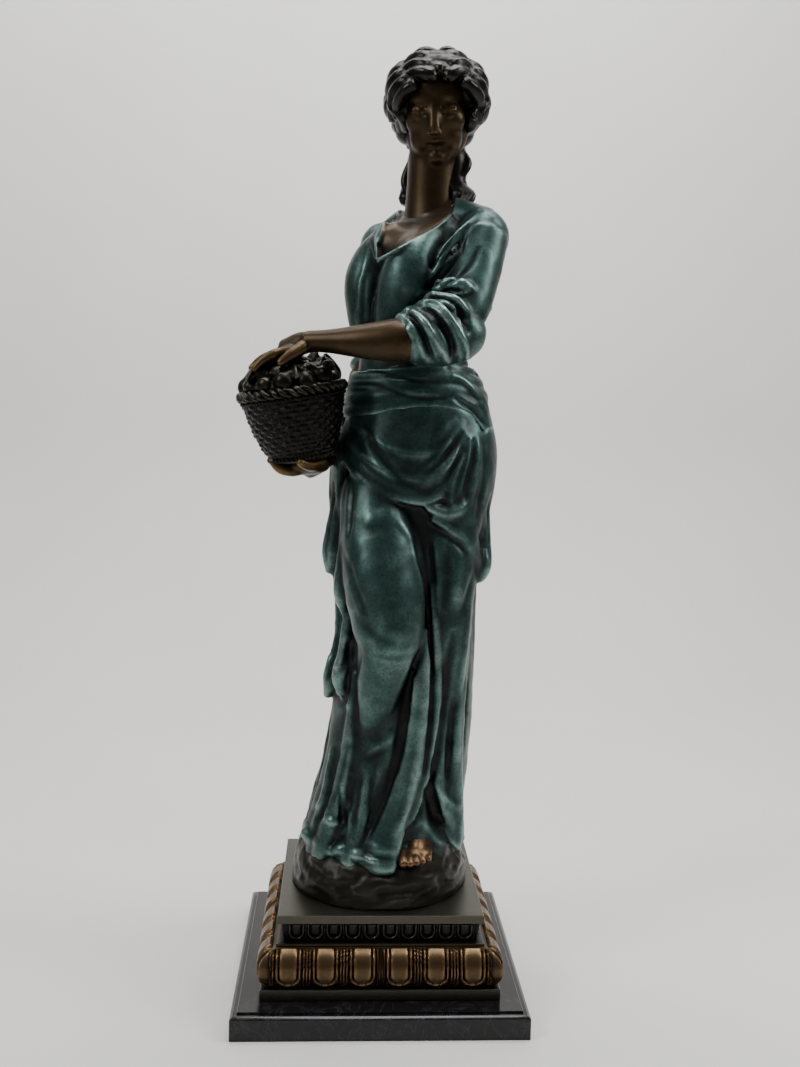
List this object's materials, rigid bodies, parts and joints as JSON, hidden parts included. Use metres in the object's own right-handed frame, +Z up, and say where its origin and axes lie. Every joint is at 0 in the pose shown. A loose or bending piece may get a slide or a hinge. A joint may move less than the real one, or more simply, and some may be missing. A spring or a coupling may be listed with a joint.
{
  "type": "bronze statue of a woman with a fruit basket",
  "caption": "Standing draped woman in patinated bronze, holding a basket of fruit at her side, on a rock, a carved square bronze plinth and a black marble slab.",
  "frame": {"origin": "centre of the underside of the marble slab", "axes": "+Z up, the figure faces -Y, and the basket at her right hand is on the -X side"},
  "size_m": [0.3072, 0.3, 0.9955],
  "materials": {
    "green_patina": "waxed teal green patina on cast bronze, with brown skin and near-black hair, basket and rock",
    "dark_bronze": "dark brown cast bronze, rubbed to gold brown on the carved cushion",
    "black_marble": "polished black marble"
  },
  "bodies": {
    "root": {"statue": "green_patina", "bronze_plinth": "dark_bronze", "marble_base": "black_marble"}
  },
  "joints": []
}
